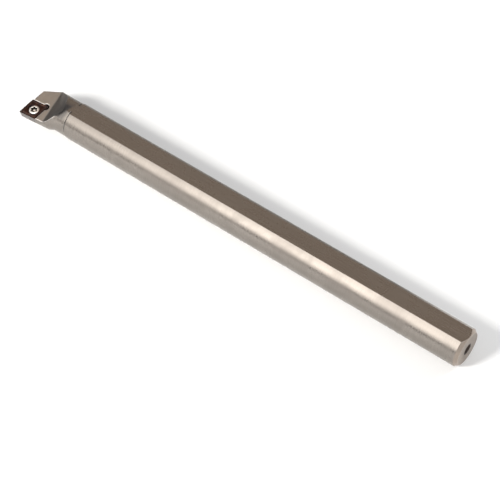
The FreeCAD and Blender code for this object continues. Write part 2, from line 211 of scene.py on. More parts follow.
class Wiring:
    """Short hand for adding nodes to one tree and joining them."""

    def __init__(self, tree: NodeTree) -> None:
        """Keep the tree that the nodes go into."""
        self.tree = tree

    def fill(self, node: Node, values: dict[str | int, Feed]) -> Node:
        """Set a node's inputs, or join them to sockets.

        Args:
            node: The node.
            values: Numbers, colours or sockets, by input name or number.

        Returns:
            The same node.
        """
        for key, value in values.items():
            if isinstance(value, NodeSocket):
                self.tree.links.new(value, node.inputs[key])
            else:
                node.inputs[key].default_value = value
        return node

    def node(self, kind: str, values: dict[str | int, Feed] | None = None,
             **settings: object) -> Node:
        """Add one node.

        Args:
            kind: Blender's name of the node type, without the word ShaderNode.
            values: Numbers, colours or sockets for its inputs.
            settings: Properties of the node.

        Returns:
            The new node.
        """
        made = self.tree.nodes.new("ShaderNode" + kind)
        for key, value in settings.items():
            setattr(made, key, value)
        return self.fill(made, values or {})

    def math(self, operation: str, first: Feed, second: Feed = 0.0,
             clamp: bool = False) -> NodeSocket:
        """Work out one number from two, kept from 0 to 1 where clamp is set."""
        made = self.node("Math", {0: first, 1: second}, operation=operation, use_clamp=clamp)
        return made.outputs[0]

    def multiply(self, first: Feed, second: Feed) -> NodeSocket:
        """Multiply two numbers."""
        return self.math("MULTIPLY", first, second)

    def noise(self, place: Feed, scale: Feed, detail: float, roughness: float = 0.5,
              distortion: Feed = 0.0) -> NodeSocket:
        """Read a cloudy noise, with its repeats per unit and its number of finer layers."""
        return self.node("TexNoise", {
            "Vector": place, "Scale": scale, "Detail": detail, "Roughness": roughness,
            "Distortion": distortion}).outputs["Fac"]

    def scaled(self, vector: Feed, factor: Feed) -> NodeSocket:
        """Multiply a vector or colour by a number."""
        return self.node("VectorMath", {0: vector, 3: factor}, operation="SCALE").outputs[0]

    def blend(self, share: Feed, low: Feed, high: Triple) -> NodeSocket:
        """Mix a colour with a second one, of which the share is given."""
        return self.node("Mix", {0: share, 6: low, 7: (*high, 1)}, data_type="RGBA").outputs[2]

    def span(self, value: Feed, low: float, high: float, to_low: float = 0.0,
             to_high: float = 1.0) -> NodeSocket:
        """Map a value from one range to another, with a smooth start and end, and clamp it."""
        ends = {0: value, 1: low, 2: high, 3: to_low, 4: to_high}
        return self.node("MapRange", ends, interpolation_type="SMOOTHSTEP").outputs[0]

    def ramp(self, share: Feed, stops: Stops) -> NodeSocket:
        """Read a level off a smooth curve near a few stops.

        Args:
            share: Place on the curve, from 0 to 1.
            stops: Place and level of each stop.

        Returns:
            The level's socket.
        """
        made = self.node("ValToRGB", {0: share})
        curve = made.color_ramp
        curve.interpolation = "B_SPLINE"
        while len(curve.elements) < len(stops):
            curve.elements.new(0.5)
        for element, (place, level) in zip(curve.elements, stops):
            element.position, element.color = place, (level, level, level, 1.0)
        return made.outputs[0]

    def group(self, tree: NodeTree, values: dict[str | int, Feed]) -> Node:
        """Place a node group with its own values."""
        return self.fill(self.node("Group", node_tree=tree), values)

    def place(self) -> NodeSocket:
        """Read the position on the object in millimetres."""
        return self.scaled(self.node("TexCoord").outputs["Object"], 1 / MM)


def new_group(name: str, inputs: dict[str, float | Triple],
              outputs: list[str]) -> tuple[Wiring, Node, Node]:
    """Make an empty shader node group with named sockets.

    Args:
        name: The group's name.
        inputs: Default value of each input; a triple makes a vector and a number makes a float.
        outputs: Names of the outputs; one that is called Normal is a vector, the others floats.

    Returns:
        Its wiring, its input node and its output node.
    """
    tree = bpy.data.node_groups.new(name, "ShaderNodeTree")
    for key, value in inputs.items():
        kind = "NodeSocketVector" if isinstance(value, tuple) else "NodeSocketFloat"
        tree.interface.new_socket(key, in_out="INPUT", socket_type=kind).default_value = value
    for key in outputs:
        kind = "NodeSocketVector" if key == "Normal" else "NodeSocketFloat"
        tree.interface.new_socket(key, in_out="OUTPUT", socket_type=kind)
    return Wiring(tree), tree.nodes.new("NodeGroupInput"), tree.nodes.new("NodeGroupOutput")


def make_tool_marks() -> NodeTree:
    """Fine cutter or grinding marks: a noise squeezed along one way and drawn out along another.

    Returns:
        Group with the inputs Place, Pitch (repeats per millimetre along each axis) and Wander,
        and the outputs Marks and Broad.
    """
    inputs = {"Place": (0.0, 0.0, 0.0), "Pitch": (1.0, 1.0, 1.0), "Wander": 0.3}
    wires, given, result = new_group("tool_marks", inputs, ["Marks", "Broad"])
    squeezed = wires.node("VectorMath", {0: given.outputs["Place"], 1: given.outputs["Pitch"]},
                          operation="MULTIPLY").outputs[0]
    wires.fill(result, {
        "Marks": wires.noise(squeezed, 1.0, 3.0, 0.65, given.outputs["Wander"]),
        "Broad": wires.noise(wires.scaled(squeezed, 0.17), 1.0, 2.0)})
    return wires.tree


def make_handling() -> NodeTree:
    """Traces of handling: soft cloudy smudges, hairline scratches and small dark specks.

    Returns:
        Group with the inputs Place, Size (millimetres) and Amount, and the outputs Smudge,
        Scratch and Speck.
    """
    inputs = {"Place": (0.0, 0.0, 0.0), "Size": 12.0, "Amount": 1.0}
    wires, given, result = new_group("handling", inputs, ["Smudge", "Scratch", "Speck"])
    place, size, amount = (given.outputs[key] for key in inputs)
    repeat = wires.math("DIVIDE", 1.0, size)
    cloud = wires.noise(place, repeat, 5.0, 0.6, 0.6)
    patch = wires.noise(place, wires.multiply(repeat, 2.3), 1.0)
    hair = wires.node("TexWave", {
        "Vector": place, "Scale": 0.35, "Distortion": 9.0, "Detail": 3.0, "Detail Scale": 0.6,
        "Detail Roughness": 0.7}, wave_type="BANDS", bands_direction="DIAGONAL").outputs["Fac"]
    cells = wires.node("TexVoronoi", {"Vector": place, "Scale": 0.9}).outputs["Distance"]
    scratch = wires.multiply(wires.span(hair, 0.985, 1.0), wires.span(patch, 0.52, 0.66))
    speck = wires.multiply(wires.span(cells, 0.10, 0.05), wires.span(patch, 0.5, 0.7))
    wires.fill(result, {
        "Smudge": wires.multiply(wires.span(cloud, 0.42, 0.68), amount),
        "Scratch": wires.multiply(scratch, amount), "Speck": wires.multiply(speck, amount)})
    return wires.tree


def make_edge_light_and_wear() -> NodeTree:
    """Bright edges, partly wear and partly painted highlight, and painted shade in corners.

    An edge shows where the normal of a rounded copy of the surface leans away from the true
    one; its mask lightens the colour, partly as wear and partly as painted highlight. A corner
    shows where the nearby surface hides most of the sky; its mask darkens the colour as
    painted shade.

    Returns:
        Group with the inputs Place, Width (metres) and Breakup, and the outputs Edge (wear and
        painted highlight), Corner (occlusion: painted shade, and extra roughness) and Normal, which
        is the rounded normal.
    """
    inputs = {"Place": (0.0, 0.0, 0.0), "Width": 0.0003, "Breakup": 0.5}
    wires, given, result = new_group("edge_light_and_wear", inputs, ["Edge", "Corner", "Normal"])
    place, width, breakup = (given.outputs[key] for key in inputs)
    rounded = wires.node("Bevel", {"Radius": width}, samples=6).outputs[0]
    true_normal = wires.node("NewGeometry").outputs["Normal"]
    lean = wires.node("VectorMath", {0: rounded, 1: true_normal}, operation="DOT_PRODUCT")
    away = wires.span(wires.math("SUBTRACT", 1.0, lean.outputs["Value"]), 0.003, 0.045)
    lost = wires.multiply(breakup, wires.span(wires.noise(place, 2.2, 4.0, 0.7), 0.35, 0.7))
    # Occlusion gives the Corner mask, which is used as painted shade.
    hidden = wires.node("AmbientOcclusion", {"Distance": wires.multiply(width, 4.0)}, samples=6)
    open_sky = wires.span(hidden.outputs["AO"], 0.35, 0.9)
    # Edge mask: wear and painted highlight.
    edge = wires.multiply(away, wires.math("SUBTRACT", 1.0, lost))
    wires.fill(result, {
        "Edge": wires.multiply(edge, open_sky), "Corner": wires.math("SUBTRACT", 1.0, open_sky),
        "Normal": rounded})
    return wires.tree


@dataclass(frozen=True)
class Effects:
    """The node groups that the finishes share."""

    marks: NodeTree
    handling: NodeTree
    edges: NodeTree


def new_metal(name: str) -> tuple[Material, Wiring, Node]:
    """Make a fully metallic material.

    Args:
        name: The material's name.

    Returns:
        The material, its wiring and its shader.
    """
    made = bpy.data.materials.new(name)
    made.use_nodes = True
    shader = made.node_tree.nodes["Principled BSDF"]
    shader.inputs["Metallic"].default_value = 1.0
    return made, Wiring(made.node_tree), shader


class Lay(Enum):
    """Which way the cutting or grinding marks of a steel face run, as repeats per millimetre."""

    ALONG = (0.05, 9.0, 9.0)
    AROUND = (11.0, 0.12, 0.12)
    RINGS = (0.0, 7.0, 0.0)
    MILLED = (3.0, 0.5, 0.5)


@dataclass(frozen=True)
class SteelFinish:
    """Satin nickel plate over turned, ground or milled steel."""

    name: str
    lay: Lay
    colour: Triple = (0.36, 0.325, 0.29)
    # Edge colour: wear and painted highlight.
    wear_and_highlight: Triple = (0.86, 0.83, 0.79)
    # Dark colour of smudges and specks, and of painted shade in corners.
    grime_and_shade: Triple = (0.07, 0.06, 0.05)
    roughness: float = 0.27
    mark_height: float = 0.22
    mark_contrast: float = 0.05
    smudge_size: float = 14.0
    edge_width: float = 0.16

    def marks(self, wires: Wiring, place: NodeSocket,
              effects: Effects) -> Node:
        """Place the tool marks; those of a faced end run in rings round the bar's axis.

        Args:
            wires: Wiring of the material.
            place: Position in millimetres.
            effects: The shared node groups.

        Returns:
            The placed group.
        """
        if self.lay is Lay.RINGS:
            level = wires.node("VectorMath", {0: place, 1: (0.0, 1.0, 1.0)}, operation="MULTIPLY")
            ring = wires.node("VectorMath", {0: level.outputs[0]}, operation="LENGTH")
            place = wires.node("CombineXYZ", {1: ring.outputs["Value"]}).outputs[0]
        return wires.group(effects.marks, {
            "Place": place, "Pitch": self.lay.value, "Wander": 0.15})

    def tint(self, wires: Wiring, marks: Node, traces: Node,
             edges: Node) -> NodeSocket:
        """Colour the plate: its marks, smudges and specks, edges lightened by wear and painted
        highlight, and corners darkened as painted shade.

        Args:
            wires: Wiring of the material.
            marks: Placed tool marks.
            traces: Placed traces of handling.
            edges: Placed edge wear.

        Returns:
            The colour's socket.
        """
        contrast = self.mark_contrast
        tone = wires.span(marks.outputs["Marks"], 0.3, 0.7, 1.0 - contrast, 1.0 + contrast)
        drift = wires.span(marks.outputs["Broad"], 0.3, 0.7, 0.97, 1.03)
        plate = wires.scaled(self.colour, wires.multiply(tone, drift))
        touched = wires.blend(wires.multiply(traces.outputs["Smudge"], 0.10), plate, self.grime_and_shade)
        specked = wires.blend(wires.multiply(traces.outputs["Speck"], 0.45), touched, self.grime_and_shade)
        # Edges lightened: wear and painted highlight.
        rubbed_and_lit = wires.blend(edges.outputs["Edge"], specked, self.wear_and_highlight)
        # Corners darkened by occlusion: painted shade.
        return wires.blend(wires.multiply(edges.outputs["Corner"], 0.85), rubbed_and_lit, self.grime_and_shade)

    def material(self, effects: Effects) -> Material:
        """Build the material.

        Args:
            effects: The shared node groups.

        Returns:
            The new material.
        """
        made, wires, shader = new_metal(self.name)
        place, middle = wires.place(), self.roughness
        marks = self.marks(wires, place, effects)
        traces = wires.group(effects.handling, {
            "Place": place, "Size": self.smudge_size, "Amount": 1.0})
        edges = wires.group(effects.edges, {
            "Place": place, "Width": self.edge_width * MM, "Breakup": 0.35})

        rough = wires.span(marks.outputs["Marks"], 0.2, 0.8, middle - 0.03, middle + 0.03)
        rough = wires.math("ADD", rough, wires.multiply(traces.outputs["Smudge"], 0.08))
        rough = wires.math("ADD", rough, wires.multiply(edges.outputs["Corner"], 0.25), clamp=True)

        dents = wires.multiply(traces.outputs["Scratch"], 0.8)
        dents = wires.math("ADD", dents, wires.multiply(traces.outputs["Speck"], 1.2))
        bump = wires.node("Bump", {
            "Height": wires.math("SUBTRACT", marks.outputs["Marks"], dents),
            "Strength": self.mark_height, "Distance": 0.004 * MM,
            "Normal": edges.outputs["Normal"]})
        wires.fill(shader, {
            "Base Color": self.tint(wires, marks, traces, edges), "Roughness": rough,
            "Normal": bump.outputs[0]})
        return made


@dataclass(frozen=True)
class CarbideFinish:
    """Sintered carbide under a hard coating, with a fine grain and a light play of colour."""

    name: str
    colour: Triple
    second: Triple
    wear_and_highlight: Triple
    roughness: float
    pits: Triple = (0.012, 0.010, 0.009)

    def material(self, effects: Effects) -> Material:
        """Build the material.

        Args:
            effects: The shared node groups.

        Returns:
            The new material.
        """
        made, wires, shader = new_metal(self.name)
        place = wires.place()
        traces = wires.group(effects.handling, {"Place": place, "Size": 2.5, "Amount": 0.6})
        edges = wires.group(effects.edges, {"Place": place, "Width": 0.07 * MM, "Breakup": 0.3})
        cloud, grain = wires.noise(place, 0.45, 3.0), wires.noise(place, 6.0, 4.0, 0.7)
        tint = wires.blend(wires.span(cloud, 0.35, 0.65), (*self.colour, 1), self.second)
        pitted = wires.blend(wires.span(grain, 0.45, 0.75, 0.0, 0.35), tint, self.pits)
        # Edges lightened: wear and painted highlight.
        rubbed_and_lit = wires.blend(wires.multiply(edges.outputs["Edge"], 0.75), pitted, self.wear_and_highlight)
        rough = wires.span(grain, 0.3, 0.7, self.roughness - 0.06, self.roughness + 0.10)
        rough = wires.math("ADD", rough, wires.multiply(traces.outputs["Smudge"], 0.12), clamp=True)
        bump = wires.node("Bump", {"Height": grain, "Strength": 0.5, "Distance": 0.008 * MM})
        wires.fill(shader, {"Base Color": rubbed_and_lit, "Roughness": rough, "Normal": bump.outputs[0]})
        return made


def dress(piece: Object, finishes: list[SteelFinish | CarbideFinish], effects: Effects, node: str) -> None:
    """Give a piece its materials and shading, tie it to the body, and hide the CAD node that it stands
    for.

    Edges sharper than the limit stay sharp. The wide faces keep their flat look beside the
    narrow rounded edges, because the normals are weighed by area.

    Args:
        piece: Finished object, in place.
        finishes: Its finishes, in the order of its material numbers.
        effects: The shared node groups.
        node: CAD node that it stands for.
    """
    numbers = np.zeros(len(piece.data.polygons), np.int32)
    piece.data.polygons.foreach_get("material_index", numbers)
    piece.data.materials.clear()
    for finish in finishes:
        piece.data.materials.append(finish.material(effects))
    piece.data.polygons.foreach_set("material_index", numbers)
    piece.data.polygons.foreach_set("use_smooth", np.ones(len(numbers), bool))
    piece.data.set_sharp_from_angle(angle=SHARP)
    weighted = piece.modifiers.new("level_faces", "WEIGHTED_NORMAL")
    weighted.keep_sharp = True
    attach(piece, BODY)
    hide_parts(node)
    LOG.info("%s: %d faces, stands for %s", piece.name, len(numbers), node)


# ---- The bar ----


class BarFace(IntEnum):
    """Kinds of surface on the bar, as its material numbers."""

    TURNED = 0
    GROUND = 1
    MILLED = 2
    FACED = 3
    # Groove floor and centre hole, painted dark as shade.
    SUNK = 4


@dataclass
class Bar:
    """Bar in one closed skin: head and neck as the solid has them, carried on by a swept shank.

    The shank is round, with a flat along its top, a narrow groove at the root of the neck, a
    chamfered rear end and a centre hole. It starts a small gap behind the split, and the faces
    that join it to the head bridge the gap.
    """

    split: float = -228.4
    gap: float = 0.05
    neck_radius: float = 9.15
    groove: Triple = (-228.3, -227.6, 8.7)
    groove_wall: float = 0.2
    groove_round: float = 0.03
    radius: float = 9.525
    flat_height: float = 8.32
    flat_edge: float = 0.12
    flat_limit: float = 0.9995
    chamfer_length: float = 1.7
    chamfer_depth: float = 1.4
    chamfer_round: float = 0.3
    rim: float = 0.12
    rim_land: float = 0.25
    sink_radius: float = 2.65
    sink_land: float = 0.3
    sink_round: float = 0.1
    sink_depth: float = 2.42
    pilot_radius: float = 1.25
    pilot_round: float = 0.05
    pilot_depth: float = 6.5
    point_depth: float = 0.75
    point_radius: float = 0.02
    rake_tilt: float = 12.0
    gullet_climb: float = 37.0
    gullet_start: float = -232.0
    nose_start: float = -243.0
    long_step: float = 8.0
    short_step: float = 0.12
    fine_run: float = 1.0
    face_rings: int = 12
    flat_points: int = 13
    edge_points: int = 6
    round_points: int = 150

    def section(self, radius: np.ndarray, edge: np.ndarray) -> np.ndarray:
        """Cross-section for each radius: a circle cut off by the flat, with an arc in each corner.

        The corner arc of radius e touches the flat from below and the circle from inside, so
        its centre lies e under the flat and the circle's radius less e from the axis. A circle
        that lies wholly under the flat keeps only a sliver of a flat at its top.

        Args:
            radius: Radius of each cross-section.
            edge: Radius of the corner arcs of each cross-section.

        Returns:
            The y and z of the points round each section, from the flat's far edge onwards.
        """
        radius, edge = radius[:, None], edge[:, None]
        top = np.minimum(self.flat_height, self.flat_limit * radius)
        centre_z = top - edge
        centre_y = np.sqrt((radius - edge) ** 2 - centre_z ** 2)
        touch = np.arctan2(centre_z, centre_y)
        share = np.linspace(-1, 1, self.flat_points)[None]
        flat = np.stack([-share * centre_y, np.repeat(top, self.flat_points, axis=1)], -1)
        bend = np.linspace(0, 1, self.edge_points + 1)[None]
        angle = math.pi / 2 + (math.pi / 2 - touch) * bend[:, 1:]
        near = np.stack([-centre_y, centre_z], axis=-1) + polar(edge, angle)
        sweep = np.linspace(0, 1, self.round_points + 1)[None, 1:-1]
        angle = (math.pi - touch) + (math.pi + 2 * touch) * sweep
        around = polar(radius, angle)
        angle = touch + (math.pi / 2 - touch) * bend[:, :-1]
        far = np.stack([centre_y, centre_z], axis=-1) + polar(edge, angle)
        return np.concatenate([flat, near, around, far], axis=1)

    def shank(self) -> Object:
        """Carry the section along the bar and on over the rear face into the centre hole.

        Along the bar the section's radius follows the turned outline. On the rear face each
        ring is a share of the way from the last section to the sink's mouth.

        Returns:
            The shank, open at the split and closed at the bottom of its centre hole.
        """
        (start, end, floor), small = self.groove, self.groove_round
        rear, rim_radius = -self.chamfer_length, self.radius - self.chamfer_depth
        outline = rounded_path([
            (self.split + self.gap, self.neck_radius, 0), (start, self.neck_radius, small),
            (start, floor, small), (end, floor, small), (end, self.radius, self.rim),
            (rear, self.radius, self.chamfer_round), (0.0, rim_radius, self.rim),
            (0.0, rim_radius - self.rim_land, 0),
        ], 5)
        plain = outline[:-1, 0] < rear - self.fine_run
        outline = divided(outline, np.where(plain, self.long_step, self.short_step))
        edge = np.where(outline[:, 0] < start, small, self.flat_edge)
        section = self.section(outline[:, 1], edge)
        heading = section[-1] / np.linalg.norm(section[-1], axis=1, keepdims=True)
        hole = rounded_path([
            (0.0, self.sink_radius + self.sink_land, 0), (0.0, self.sink_radius, self.sink_round),
            (-self.sink_depth, self.pilot_radius, self.pilot_round),
            (-self.pilot_depth, self.pilot_radius, self.sink_round),
            (-self.pilot_depth - self.point_depth, self.point_radius, 0),
        ])
        share = np.linspace(0, 1, self.face_rings + 2)[1:-1, None, None]
        face = section[-1] * (1 - share) + heading * hole[0, 1] * share
        flats = np.concatenate([section, face, heading * hole[:, 1:, None]])
        along = np.concatenate([outline[:, 0], np.zeros(len(face)), hole[:, 0]])
        rings = np.roll(raised(flats, along[:, None, None]), 1, axis=-1)

        finish = np.full(len(rings), int(BarFace.FACED))
        on_shank, (place, reach) = finish[:len(section)], outline.T
        on_shank[place < rear] = BarFace.TURNED
        # The groove's floor and the centre hole take the dark finish: painted shade.
        on_shank[(place < end) & (reach < floor + self.groove_wall)] = BarFace.SUNK
        finish[-len(hole):] = BarFace.SUNK
        return skin("bar", rings, finish, poles=(False, True))

    def head(self, node: Object) -> bmesh.types.BMesh:
        """Merge a copy of the solid's triangles and keep what lies before the split.

        Args:
            node: The bar's CAD node.

        Returns:
            Head and neck with whole level faces, open at the split.
        """
        head = bmesh.new()
        head.from_mesh(node.data)
        bmesh.ops.remove_doubles(head, verts=head.verts, dist=WELD)
        whole = head.verts[:] + head.edges[:] + head.faces[:]
        bmesh.ops.bisect_plane(head, geom=whole, dist=WELD / 10, plane_co=(self.split * MM, 0, 0),
                               plane_no=(1, 0, 0), clear_outer=True)
        bmesh.ops.dissolve_limit(head, angle_limit=LEVEL, verts=head.verts, edges=head.edges)
        return head

    def number_faces(self, whole: bmesh.types.BMesh) -> None:
        """Number the faces by the kind of surface: the flat, the milled faces, the turned rest.

        Args:
            whole: The bar.
        """
        tilt = math.radians(self.rake_tilt)
        rake = Vector((0.0, -math.sin(tilt), math.cos(tilt)))
        climb = math.cos(math.radians(self.gullet_climb))
        flat_level, facing_up, facing_front = self.flat_height - 0.05, 0.9995, -0.5
        for face in whole.faces:
            centre = face.calc_center_median() / MM
            in_gullet = centre.x < self.gullet_start and face.normal.dot(rake) > climb
            on_nose = centre.x < self.nose_start and face.normal.x < facing_front
            if face.normal.z > facing_up and centre.z > flat_level:
                face.material_index = BarFace.GROUND
            elif in_gullet or on_nose:
                face.material_index = BarFace.MILLED

    def build(self, node: Object) -> Object:
        """Join head and shank ring to ring into one closed skin.

        Args:
            node: The bar's CAD node.

        Returns:
            The bar.
        """
        made = self.shank()
        whole = self.head(node)
        whole.from_mesh(made.data)
        bmesh.ops.bridge_loops(whole, edges=[edge for edge in whole.edges if edge.is_boundary])
        bmesh.ops.recalc_face_normals(whole, faces=whole.faces)
        self.number_faces(whole)
        LOG.info("bar: %d open edges", sum(not edge.is_manifold for edge in whole.edges))
        whole.to_mesh(made.data)
        whole.free()
        return made

    def finishes(self) -> list[SteelFinish]:
        """Finish of each kind of surface, in the order of BarFace."""
        return [
            SteelFinish("nickel_turned", Lay.AROUND, colour=(0.297, 0.269, 0.243)),
            SteelFinish("nickel_ground", Lay.ALONG, roughness=0.25, mark_contrast=0.08),
            # Milled edges lightened broadly: wear and painted highlight.
            SteelFinish("nickel_milled", Lay.MILLED, wear_and_highlight=(1.0, 0.97, 0.93), roughness=0.30,
                        mark_contrast=0.08, edge_width=0.65),
            SteelFinish("nickel_faced", Lay.RINGS, colour=(0.34, 0.285, 0.242), roughness=0.33,
                        mark_contrast=0.22, mark_height=0.6),
            # Near-black colour of the groove and centre hole: painted shade.
            SteelFinish("bore_painted_shade", Lay.RINGS, colour=(0.05, 0.04, 0.035), roughness=0.4),
        ]


# ---- Insert and screw ----


@dataclass(frozen=True)
class Seat:
    """Place of the insert and its screw on the bar: centre of the top face, tilt and yaw."""

    base: Triple = (-248.801, -7.615, 1.081)
    tilt: float = 12.0
    yaw: float = 5.0

    def place(self, rings: np.ndarray) -> np.ndarray:
        """Move points from the seat on to the bar: yaw about z, tilt about x, then shift.

        Args:
            rings: Points in the seat's frame.

        Returns:
            The points in the bar's frame.
        """
        tilt = Matrix.Rotation(math.radians(self.tilt), 3, "X")
        yaw = Matrix.Rotation(math.radians(self.yaw), 3, "Z")
        return rings @ np.array(tilt @ yaw).T + np.array(self.base)


@dataclass
class Insert:
    """Rhombic cutting insert with a double chip groove, leaning flanks and a sunk hole."""

    half: float = 4.7625
    corner_angle: float = 80.0
    nose_radius: float = 0.4
    thickness: float = 3.97
    clearance: float = 7.0
    hone: float = 0.035
    sink_radius: float = 2.85
    sink_land: float = 0.12
    sink_round: float = 0.08
    hole_radius: float = 2.2
    hole_round: float = 0.1
    cone_depth: float = 1.126
    foot_land: float = 0.3
    foot_inset: float = 0.08
    foot_rise: float = 0.04
    land: float = 0.10
    groove: Stops = (
        (0.17, 0.0), (0.24, -0.03), (0.36, -0.09), (0.48, -0.145), (0.58, -0.165), (0.66, -0.15),
        (0.74, -0.09), (0.80, -0.055), (0.86, -0.055), (0.92, -0.09), (1.00, -0.15),
        (1.08, -0.175), (1.16, -0.165), (1.24, -0.11), (1.30, -0.04), (1.36, 0.0),
    )
    side_points: int = 44
    nose_points: int = 14
    face_rings: int = 6
    flank_rings: int = 16
    halvings: int = 30

    def corners(self, inset: float = 0.0) -> np.ndarray:
        """Find the corners of the rhombus whose sides lie inset inside the insert's own.

        Args:
            inset: Distance between the sides.

        Returns:
            Four points, anticlockwise.
        """
        lean = math.radians(self.corner_angle)
        side = (self.half - inset) / math.sin(lean)
        signs = np.array([(-1, -1), (1, -1), (1, 1), (-1, 1)])
        return side * signs @ np.array([[1.0, 0.0], [math.cos(lean), math.sin(lean)]])

    def normals(self) -> np.ndarray:
        """Outward normal of each side, in the order of the corners that they start from."""
        lean = math.radians(self.corner_angle)
        return np.array([(0, -1), (math.sin(lean), -math.cos(lean)), (0, 1),
                         (-math.sin(lean), math.cos(lean))])

    def outline(self) -> np.ndarray:
        """Walk round the top edge: along each side, then round the nose arc at its end.

        Returns:
            Points of the rounded rhombus, anticlockwise.
        """
        centres, normals = self.corners(self.nose_radius), self.normals()
        rows = []
        for index in range(4):
            here, after = normals[index], normals[(index + 1) % 4]
            share = (1 - np.cos(np.linspace(0, math.pi, self.side_points + 1)[:-1])) / 2
            start, end = centres[index], centres[(index + 1) % 4]
            rows.append(start + (end - start) * share[:, None] + here * self.nose_radius)
            turn = np.linspace(0, math.acos(float(here @ after)), self.nose_points + 1)[:-1]
            angle = math.atan2(here[1], here[0]) + turn
            rows.append(end + polar(self.nose_radius, angle))
        return np.concatenate(rows)

    def depth(self, points: np.ndarray) -> np.ndarray:
        """Distance of points inside the rounded rhombus from its outline.

        Near the middle it is the least distance to a side. Outside the rhombus that is inset by
        the nose radius, it is the nose radius less the distance to that inner rhombus.

        Args:
            points: Points in the plane of the top face.

        Returns:
            One distance a point.
        """
        least = (self.half - points @ self.normals().T).min(axis=-1)
        centres = self.corners(self.nose_radius)
        gaps = []
        for start, end in zip(centres, np.roll(centres, -1, axis=0)):
            run = end - start
            share = np.clip(((points - start) @ run) / (run @ run), 0, 1)
            gaps.append(np.linalg.norm(points - start - share[..., None] * run, axis=-1))
        return np.where(least >= self.nose_radius, least, self.nose_radius - np.min(gaps, axis=0))

    def ring(self, inset: float, circle: np.ndarray) -> np.ndarray:
        """Ring at one distance inside the outline, on the straight lines that run to the hole.

        The place on each line is found by halving the stretch that holds it, many times.

        Args:
            inset: Distance from the outline.
            circle: Points round the hole, where the lines end.

        Returns:
            Points of the ring.
        """
        outer = self.outline()
        low, high = np.zeros(len(outer)), np.ones(len(outer))
        for _ in range(self.halvings):
            middle = (low + high) / 2
            short = self.depth(outer + (circle - outer) * middle[:, None]) < inset
            low, high = np.where(short, middle, low), np.where(short, high, middle)
        return outer + (circle - outer) * ((low + high) / 2)[:, None]

    def build(self, seat: Seat) -> Object:
        """Join the rings of the top, the hole, the bottom and the flanks into one closed grid.

        Args:
            seat: Place on the bar.

        Returns:
            The insert, with the finishes 0 top and 1 flanks.
        """
        outer = self.outline()
        heading = outer / np.linalg.norm(outer, axis=1, keepdims=True)
        mouth_radius, bottom = self.sink_radius + self.sink_land, -self.thickness
        mouth, bevel = heading * mouth_radius, self.hone * 0.3
        top = ((bevel, -bevel), (self.hone, 0.0), (self.land, 0.0), *self.groove)
        rows = [(self.ring(inset, mouth), height) for inset, height in top]
        last, shares = rows[-1][0], np.linspace(0, 1, self.face_rings + 1)[1:]
        rows += [(last * (1 - share) + mouth * share, 0.0) for share in shares]
        hole = rounded_path([
            (0.0, mouth_radius, 0), (0.0, self.sink_radius, self.sink_round),
            (-self.cone_depth, self.hole_radius, self.hole_round),
            (bottom, self.hole_radius, self.hole_round),
            (bottom, self.hole_radius + self.foot_land, 0),
        ])
        rows += [(heading * radius, height) for height, radius in hole[1:]]
        slope = math.tan(math.radians(self.clearance))
        start, foot = rows[-1][0], self.ring(self.thickness * slope + self.foot_inset, mouth)
        rows += [(start * (1 - share) + foot * share, bottom) for share in shares]
        for height in np.linspace(bottom + self.foot_rise, -self.hone, self.flank_rings):
            rows.append((self.ring(-height * slope, mouth), height))
        flats, heights = zip(*rows)
        rings = raised(np.stack(flats), np.array(heights)[:, None, None])
        finish = np.zeros(len(rows), int)
        finish[-self.flank_rings - 1:-1] = 1
        return skin("insert_rhombic", seat.place(rings), finish, closed=True)

    def finishes(self) -> list[CarbideFinish]:
        """Dark coated top and lighter ground flanks."""
        return [
            # The third colour of each finish lightens the edges: wear and painted highlight.
            CarbideFinish("bronze_coating", (0.048, 0.023, 0.017), (0.026, 0.018, 0.020),
                          (0.52, 0.34, 0.26), 0.17),
            CarbideFinish("ground_flank", (0.27, 0.25, 0.24), (0.23, 0.21, 0.205),
                          (0.85, 0.78, 0.72), 0.4),
        ]


